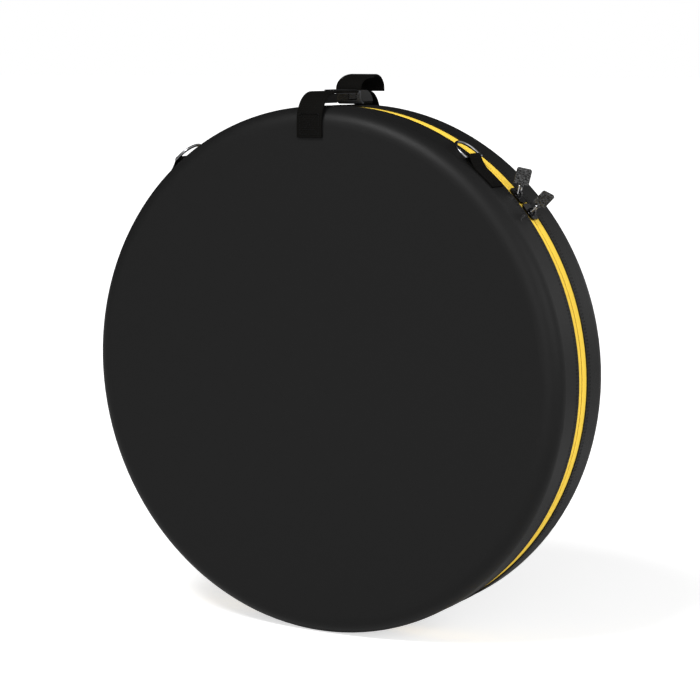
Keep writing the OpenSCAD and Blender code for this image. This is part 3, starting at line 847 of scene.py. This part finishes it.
low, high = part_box("handle_rear_pad")
front_y = low.y / MM
pad_top = (high.z - AXIS_Z) / MM
nose = 5
shoulder, shoulder_y = 13.6, 26
outline = arc(front_y + nose, pad_low + nose, nose, range(180, 271, 10))
outline += [(front_y, pad_top), (shoulder_y, pad_top)]
outline += arc(shoulder_y, pad_top - shoulder, shoulder, range(8, 77, 7))
outline += [(high.y / MM, pad_low)]
rear_pad = block("foam_rear", [on_side(*p) + left for p in outline], width, 1.1 * MM)
# The rear pad, in shade between the straps, takes the lighter grey copy: painted light.
dress(rear_pad, "pad_cloth_painted_light", "rear_case", ["handle_rear_pad"])
print("pads:", len(front_pad.data.polygons), len(rear_pad.data.polygons))

# %% [markdown]
# ## The handle's wrap
# One length of webbing is sewn under the rear pad, stands up in front of it and curls over the
# top of both straps. Hook tape inside the curl closes on the front strap's loop tape. The upright
# and the curl are one mesh, which is attached to no body.

# %% Handle wrap
low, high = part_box("handle_flap")
root_low, root_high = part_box("flap_root")
fold_r = (PIVOT["handle_flap_fold"].z - AXIS_Z) / MM
crown_y = 43.5
run_front = crown_y - low.y / MM - HALF_T
run_rear = high.y / MM - crown_y - HALF_T
rise = (high.z - AXIS_Z) / MM - fold_r - HALF_T
under = (root_low.z - AXIS_Z) / MM + HALF_T
corner = 7 - HALF_T
corner_y = root_low.y / MM + 7
upright = fold_r - under - corner
wrap_path = [(root_high.y / MM - 0.5 - k * 6, under) for k in range(5)]
wrap_path = [p for p in wrap_path if p[0] > corner_y + 1] + [(corner_y, under)]
wrap_path += arc(corner_y, under + corner, corner, range(190, 271, 10))
wrap_path += [(root_low.y / MM + HALF_T, under + corner + k * upright / 5) for k in range(1, 5)]
wrap_path += arc(crown_y, fold_r, run_front, range(-90, 1, 6), rise)
wrap_path += arc(crown_y, fold_r, run_rear, range(6, 91, 6), rise)
wrap_path += [(crown_y + run_rear, (low.z - AXIS_Z) / MM + 0.2)]
handle_wrap = strap("webbing_wrap", [on_side(*p) for p in wrap_path], ACROSS, STRAP_T)
dress(handle_wrap, "webbing_black", None, ["flap_root", "handle_flap"])
# The upright, below the fold, is in shade under the front strap; it takes the lighter grey copy
# of the webbing, painted light so that it reads as lit.
handle_wrap.data.materials.append(MATERIALS["webbing_painted_light"])
for face in handle_wrap.data.polygons:
    if face.center.z < AXIS_Z + (fold_r - 1.6) * MM and face.center.y < root_low.y + 9 * MM:
        face.material_index = 1
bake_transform(handle_wrap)
print("wrap:", len(wrap_path), "steps")

# %% Handle stitching
# A square of stitches holds the upright to the pad, and rows hold both feet to the shells.
box_y = root_low.y - 0.02 * MM
box_corners = [Vector((STRAP_X + x * MM, box_y, AXIS_Z + r * MM))
               for x, r in ((0.4, 239.8), (8.6, 239.8), (8.6, 246.6), (0.4, 246.6))]
ahead = Vector((0, -1, 0))
box_lines = [(box_corners[k], box_corners[(k + 1) % 4], ahead) for k in range(4)]
dress(stitch_lines("wrap_box_stitches", box_lines, 1.7 * MM, 0.45 * MM),
      "thread_black", "rear_case")

foot_lines = []
for y, up in ((front_out * MM, ahead), (rear_out * MM, -ahead)):
    for row in (0, 1):
        inset = (3 + 4 * row) * MM
        a = Vector((STRAP_X - STRAP_W / 2 + inset, y, AXIS_Z + foot * MM + inset))
        b = Vector((STRAP_X + STRAP_W / 2 - inset, y, AXIS_Z + foot * MM + inset))
        rise_by = Vector((0, 0, (18 - 8 * row) * MM if y < 0 else 3 * MM))
        foot_lines.append((a, b, up))
        if row == 0:
            foot_lines += [(a, a + rise_by, up), (b, b + rise_by, up)]
            if y < 0:
                foot_lines += [(a + rise_by, b + rise_by, up), (a, b + rise_by, up),
                               (b, a + rise_by, up)]
front_lines = [line for line in foot_lines if line[0].y < 0]
rear_lines = [line for line in foot_lines if line[0].y > 0]
dress(stitch_lines("foot_stitches_front", front_lines, 2.2 * MM, 0.32 * MM),
      "thread_black", "lid")
dress(stitch_lines("foot_stitches_rear", rear_lines, 2.2 * MM, 0.32 * MM),
      "thread_black", "rear_case")
print("stitch lines:", len(box_lines), len(foot_lines))

# %% [markdown]
# ## D-ring tabs
# A short length of webbing passes round the straight side of the wire ring. Its two ends lie on
# the rim of the front half and are sewn down in a box. The same strap tool as the handle's draws
# it along one line: up the rim, round the wire and back over itself.

# %% D-ring tabs
TAB_T = 0.75 * MM
TAB_W = 21.6 * MM
TAB_LOOP = 2.4
for side, sign in (("right", 1), ("left", -1)):
    bar = PIVOT[f"d_ring_{side}_swing"]
    angle = rim_angle(bar)
    bar_r = math.hypot(bar.x, bar.z - AXIS_Z) / MM
    seat = RIM / MM + 0.2
    tab_y = bar.y - 1.5 * MM

    def tab_point(along, radius):
        """Point at a run in mm past the wire: round the rim, or straight before it."""
        if along <= 0:
            return at_rim(angle, tab_y, radius * MM, sign * along * MM)
        return at_rim(angle + sign * math.degrees(along / seat), tab_y, radius * MM)

    tab_path = [(34 - k * 3.2, seat + 0.4) for k in range(8)] + [(9.5, seat + 0.5), (6, seat + 0.8)]
    tab_path += arc(0, bar_r, TAB_LOOP, range(170, 371, 20))
    tab_path += [(5, bar_r - 0.6), (10, seat + 1.9)] + [(13 + k * 3, seat + 1.25) for k in range(8)]
    tab = strap("ring_tab_" + side + "_webbing", [tab_point(*p) for p in tab_path],
                Vector((0, TAB_W, 0)), TAB_T, 0.2 * MM)
    dress(tab, "webbing_black", "lid", ["ring_tab_" + side])
    tab_lines = []
    for a, b in (((14, -9), (32, -9)), ((14, 9), (32, 9)), ((14, -9), (14, 9)),
                 ((32, -9), (32, 9)), ((14, -9), (32, 9)), ((14, 9), (32, -9))):
        ends = [at_rim(angle + sign * math.degrees(p[0] / seat), tab_y + p[1] * MM,
                       (seat + 1.62) * MM) for p in (a, b)]
        mid = (ends[0] + ends[1]) / 2
        out = Vector((mid.x, 0, mid.z - AXIS_Z))
        tab_lines.append((ends[0], ends[1], out))
    dress(stitch_lines(f"ring_tab_{side}_stitches", tab_lines, 2.0 * MM, 0.3 * MM),
          "thread_black", "lid")
print("tabs done")

# %% [markdown]
# ## Hinge
# Opposite the parked sliders the zip stops, and a strip of the shell cloth joins the halves. The
# real strip bends as the lid opens, so one fine grid runs from the rear half to the front half,
# creased in the middle; it is attached to no body. Two strips with a gap between them would part
# when the lid opens.

# %% Hinge
low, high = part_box("hinge_strip")
hinge_half_z = (high.z - low.z) / 2
hinge_width = high.y - low.y
deselect()
bpy.ops.mesh.primitive_grid_add(x_subdivisions=48, y_subdivisions=40, size=1)
hinge = added("hinge_cloth")
layer = hinge.data.uv_layers.active.data
for loop in hinge.data.loops:
    place = hinge.data.vertices[loop.vertex_index].co
    layer[loop.index].uv = (place.y * hinge_width, place.x * 2 * hinge_half_z)
half_turn = math.asin(hinge_half_z / RIM)


def hinge_radius(depth):
    """The cloth's distance from the case's line: creased in the middle, tucked at the rear."""
    tuck = min(1.0, max(0.0, (depth - 6.5 * MM) / (2.5 * MM)))
    crease = 0.5 * MM * math.exp(-(depth / (2.0 * MM)) ** 2)
    return RIM - 0.7 * MM - crease - 1.5 * MM * tuck * tuck * (3 - 2 * tuck)


for vertex in hinge.data.vertices:
    turn = vertex.co.x * 2 * half_turn
    depth = low.y + (vertex.co.y + 0.5) * hinge_width
    radius = hinge_radius(depth)
    vertex.co = (-radius * math.cos(turn), depth, AXIS_Z + radius * math.sin(turn))
depths = [low.y + hinge_width * k / 200 for k in range(201)]
modify(hinge, "SOLIDIFY", thickness=0.9 * MM, offset=0)
outward(hinge)
smooth(hinge, 60)
dress(hinge, "hinge_cloth", None, ["hinge_strip"])
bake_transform(hinge)

# %% [markdown]
# ## Inside: lining and bindings
# A knitted lining is pressed into each shell. It is round like the shell, so its profile is drawn
# once and spun about the case's line. Where shell, lining and zip tape are sewn together, a woven
# tape covers the raw edge.

# %% Linings
for side, body, sign in (("front", "lid", -1), ("rear", "rear_case", 1)):
    low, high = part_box(side + "_lining")
    open_y, deep_y = (high.y, low.y) if sign < 0 else (low.y, high.y)
    outer_r = (high.x - low.x) / 2 - 0.2 * MM
    turn_r = (12 if sign < 0 else 17) * MM
    profile = [(outer_r, open_y)]
    for k in range(0, 9):
        a = math.radians(90 * k / 8)
        profile.append((outer_r - turn_r + turn_r * math.cos(a),
                        deep_y - sign * turn_r + sign * turn_r * math.sin(a) - sign * 0.3 * MM))
    profile += [(outer_r * share, deep_y - sign * 0.3 * MM) for share in (0.75, 0.5, 0.25, 0.05)]
    deselect()
    bpy.ops.mesh.primitive_plane_add(size=1)
    lining = added(side + "_lining_cloth")
    edit(lining, lambda vertex: vertex.index > 1)
    bpy.ops.mesh.delete(type="VERT")
    leave()
    for vertex, spot in zip(lining.data.vertices, profile):
        vertex.co = (*spot, AXIS_Z)
    edit(lining, lambda vertex: vertex.index == 1)
    for here, there in zip(profile[1:], profile[2:]):
        push((there[0] - here[0], there[1] - here[1], 0))
    bpy.ops.mesh.select_all(action="SELECT")
    bpy.ops.mesh.spin(steps=144, angle=2 * math.pi, center=(0, 0, AXIS_Z), axis=(0, 1, 0))
    bpy.ops.mesh.remove_doubles(threshold=0.00005)
    bpy.ops.mesh.normals_make_consistent(inside=False)
    leave()
    modify(lining, "SOLIDIFY", thickness=0.8 * MM, offset=0)
    smooth(lining, 50)
    dress(lining, "lining_knit", body, [side + "_lining"])
    print(lining.name, "faces", len(lining.data.polygons))

# %% Bindings
BINDING_STITCHES = 440
for side, body in (("front", "lid"), ("rear", "rear_case")):
    low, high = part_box(side + "_edge_binding")
    tape = band(side + "_binding_tape", high.x, low.y, high.y, 1.0 * MM, 0.3 * MM)
    dress(tape, "binding_tape", body, [side + "_edge_binding"])
    stitch = thread(side + "_binding_stitches", 2.6 * MM, 0.26 * MM)
    depth = (low.y + high.y) / 2
    stitch.data.transform(Matrix.Translation((0, depth, AXIS_Z + high.x - 1.15 * MM)))
    repeat_round(stitch, BINDING_STITCHES, 360 / BINDING_STITCHES)
    dress(stitch, "thread_black", body)
print("bindings done")

# %% [markdown]
# ## Inside: pocket and elastic straps
# The lid carries a mesh pocket with a hemmed mouth. It is a disc cut off straight, divided by
# bisecting so that it can hang in shallow waves, and its holes are cut by the material. Two
# elastic straps, sewn to the rear half, hold the folded reflector down.

# %% Pocket
low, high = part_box("lid_pocket")
hem_low, hem_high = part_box("lid_pocket_hem")
pocket_r = (high.x - low.x) / 2
deselect()
bpy.ops.mesh.primitive_circle_add(vertices=128, radius=pocket_r, fill_type="NGON",
                                  location=(0, high.y, AXIS_Z), rotation=(math.pi / 2, 0, 0))
pocket = added("pocket_mesh_cloth")
bpy.ops.object.transform_apply(location=True, rotation=True, scale=True)
edit(pocket)
bpy.ops.mesh.bisect(plane_co=(0, 0, high.z), plane_no=(0, 0, 1), clear_outer=True)
for k in range(-20, 21):
    bpy.ops.mesh.select_all(action="SELECT")
    bpy.ops.mesh.bisect(plane_co=(k * 10 * MM, 0, AXIS_Z), plane_no=(1, 0, 0))
for k in range(-20, 5):
    bpy.ops.mesh.select_all(action="SELECT")
    bpy.ops.mesh.bisect(plane_co=(0, 0, AXIS_Z + k * 10 * MM), plane_no=(0, 0, 1))
leave()
for vertex in pocket.data.vertices:
    x, z = vertex.co.x, vertex.co.z - AXIS_Z
    edge = max(0.0, 1 - (x * x + z * z) / pocket_r ** 2)
    vertex.co.y += min(1, 3 * edge) * (1.3 + 0.6 * math.sin(x / (23 * MM)) + 0.5 * math.sin(
        z / (31 * MM) + x / (40 * MM))) * MM
modify(pocket, "SOLIDIFY", thickness=0.4 * MM, offset=0)
smooth(pocket, 60)
dress(pocket, "pocket_mesh", "lid", ["lid_pocket"])
hem_path = [Vector((hem_low.x + 2 * MM + k * (hem_high.x - hem_low.x - 4 * MM) / 40,
                    hem_low.y + 1.0 * MM + 0.5 * MM * math.sin(k * 0.9),
                    (hem_low.z + hem_high.z) / 2)) for k in range(41)]
hem = strap("pocket_hem", hem_path, Vector((0, 0, (hem_high.z - hem_low.z) - 1 * MM)), 0.8 * MM,
            0.3 * MM)
dress(hem, "elastic_black", "lid", ["lid_pocket_hem"])
print("pocket faces", len(pocket.data.polygons))

# %% Elastic straps
for side in ("left", "right"):
    low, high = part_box("elastic_strap_" + side)
    mid_x = (low.x + high.x) / 2
    reach = (high.z - low.z) / 2 - 17.5 * MM
    path = []
    for k in range(41):
        share = k / 40
        z = AXIS_Z + (2 * share - 1) * reach
        slack = 0.6 * MM * math.sin(share * math.pi * 9)
        path.append(Vector((mid_x, (low.y + high.y) / 2 + slack * math.sin(share * math.pi), z)))
    elastic = strap("elastic_" + side, path, Vector((high.x - low.x, 0, 0)), 1.3 * MM, 0.3 * MM)
    dress(elastic, "elastic_black", "rear_case", ["elastic_strap_" + side])
print("elastic straps done")

# %% [markdown]
# ## The folded reflector
# A spring-steel hoop is sewn into a casing round a disc of cloth. Twisted, it folds into three
# turns, a third of its open size, and the cloth gathers in flat waves between them. The hoop is one
# closed wire, so its section is pushed along all three turns and bridged to its start, which a
# stack of three rings would not show. The cloth is eight wavy layers.

# %% Hoop and casing
STATIONS = 288
low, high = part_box("reflector_hoop")
wire = 2.0 * MM
spread = (high.y - low.y) / 2 - wire
mid_r = (high.x - low.x) / 2 - wire - spread * 0.995
mid_depth = (low.y + high.y) / 2
for name, radius, material, slot, node in (
        ("hoop_wire", wire, "spring_steel", "spring_wire", "reflector_hoop"),
        ("hoop_casing", 4.0 * MM, "casing_tape", "hoop_casing", "reflector_binding")):
    deselect()
    bpy.ops.mesh.primitive_circle_add(vertices=10, radius=radius)
    turn = added(name)
    # One section circle is pushed round the three turns, one step at a time.
    places = []
    for i in range(STATIONS):
        t = math.radians(i * 3 * 360 / STATIONS)
        s = t / 3
        r = mid_r + spread * math.cos(s)
        places.append((Vector((r * math.sin(t), mid_depth + spread * math.sin(s),
                               AXIS_Z + r * math.cos(t))), t))
    for vertex in turn.data.vertices:
        flat = vertex.co.copy()
        vertex.co = places[0][0] + Vector((0, flat.y, flat.x))
    edit(turn)
    for (here, t), (there, t_next) in zip(places, places[1:]):
        push(there - here)
        bpy.ops.transform.rotate(value=-(t_next - t), orient_axis="Y", center_override=there)
    leave()
    print(name, "vertices", len(turn.data.vertices))
    edit(turn, lambda edge: edge.is_boundary, "EDGE")
    bpy.ops.mesh.bridge_edge_loops()
    leave()
    outward(turn)
    smooth(turn, 60)
    dress(turn, material, "rear_case", [node])

# %% Reflector cloth
LAYERS = 8
low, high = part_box("reflector_fabric")
cloth_r = (high.x - low.x) / 2 - 1 * MM
layers = []
for k in range(LAYERS):
    deselect()
    bpy.ops.mesh.primitive_circle_add(vertices=96, radius=cloth_r, fill_type="TRIFAN",
                                      rotation=(math.pi / 2, 0, 0))
    layer = bpy.context.object
    bpy.ops.object.transform_apply(location=False, rotation=True, scale=False)
    edit(layer)
    bpy.ops.mesh.subdivide(number_cuts=7)
    leave()
    depth = low.y + 3 * MM + k * (high.y - low.y - 6 * MM) / (LAYERS - 1)
    for vertex in layer.data.vertices:
        x, z = vertex.co.x, vertex.co.z
        share = math.hypot(x, z) / cloth_r
        turn = math.atan2(x, z)
        wave = math.sin(5 * turn + 2.1 * k) + 0.6 * math.sin(9 * turn - 1.3 * k + 3 * share)
        vertex.co = (x, depth + share * (1.2 - 0.5 * share) * MM * wave, z + AXIS_Z)
    layers.append(layer)
deselect()
for layer in layers:
    layer.select_set(True)
bpy.context.view_layer.objects.active = layers[0]
bpy.ops.object.join()
cloth_stack = added("reflector_cloth")
modify(cloth_stack, "SOLIDIFY", thickness=0.25 * MM, offset=0)
smooth(cloth_stack, 60)
dress(cloth_stack, "reflector_white", "rear_case", ["reflector_fabric"])
print("reflector cloth faces", len(cloth_stack.data.polygons))
